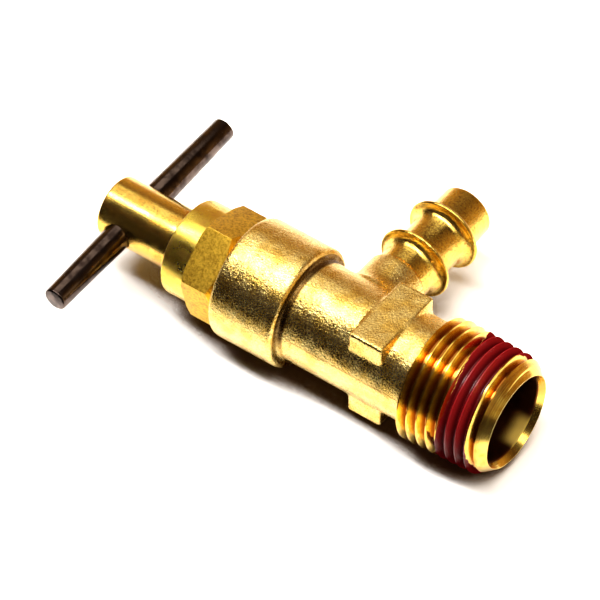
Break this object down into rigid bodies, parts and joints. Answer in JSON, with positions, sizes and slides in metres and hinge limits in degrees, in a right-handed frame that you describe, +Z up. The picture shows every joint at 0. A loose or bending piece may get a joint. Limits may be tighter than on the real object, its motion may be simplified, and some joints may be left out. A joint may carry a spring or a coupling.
{
  "type": "shut-off valve",
  "caption": "Brass screw-down shut-off valve with a male taper thread inlet, a side hose barb, a hexagon bonnet and a T-bar handle.",
  "frame": {"origin": "centre of the inlet mouth, on the valve's long axis", "axes": "+X out of the threaded inlet along the spindle's axis, +Y parallel to the hose barb and out of its end, +Z up through the upper wrench flat"},
  "size_m": [0.0806, 0.0558, 0.022],
  "materials": {
    "cast_brass": "sand-cast and bright dipped, with a fine sparkling grain",
    "turned_brass": "machined and polished",
    "dark_steel": "polished dark steel",
    "rubber": "smooth",
    "fibre": "vulcanised fibre"
  },
  "bodies": {
    "housing": {"valve_body": "cast_brass", "bonnet": "turned_brass", "bonnet_gasket": "fibre", "stem_o_ring_outer": "rubber", "stem_o_ring_inner": "rubber"},
    "disc": {"disc_holder": "turned_brass", "seat_washer": "rubber", "washer_screw": "turned_brass"},
    "handle": {"stem": "turned_brass", "t_bar": "dark_steel"}
  },
  "joints": [
    {"name": "stem_travel", "type": "slide", "parent": "housing", "child": "disc", "axis": [1, 0, 0], "range_m": [0, 0.005]},
    {"name": "handle_turn", "type": "hinge", "parent": "disc", "child": "handle", "pos_m": [-0.0763, 0, 0], "axis": [1, 0, 0], "range_deg": [0, 1200]}
  ],
  "couplings": [
    {"joint": "handle_turn", "follows": "stem_travel", "rad_per_m": 4188.7}
  ]
}
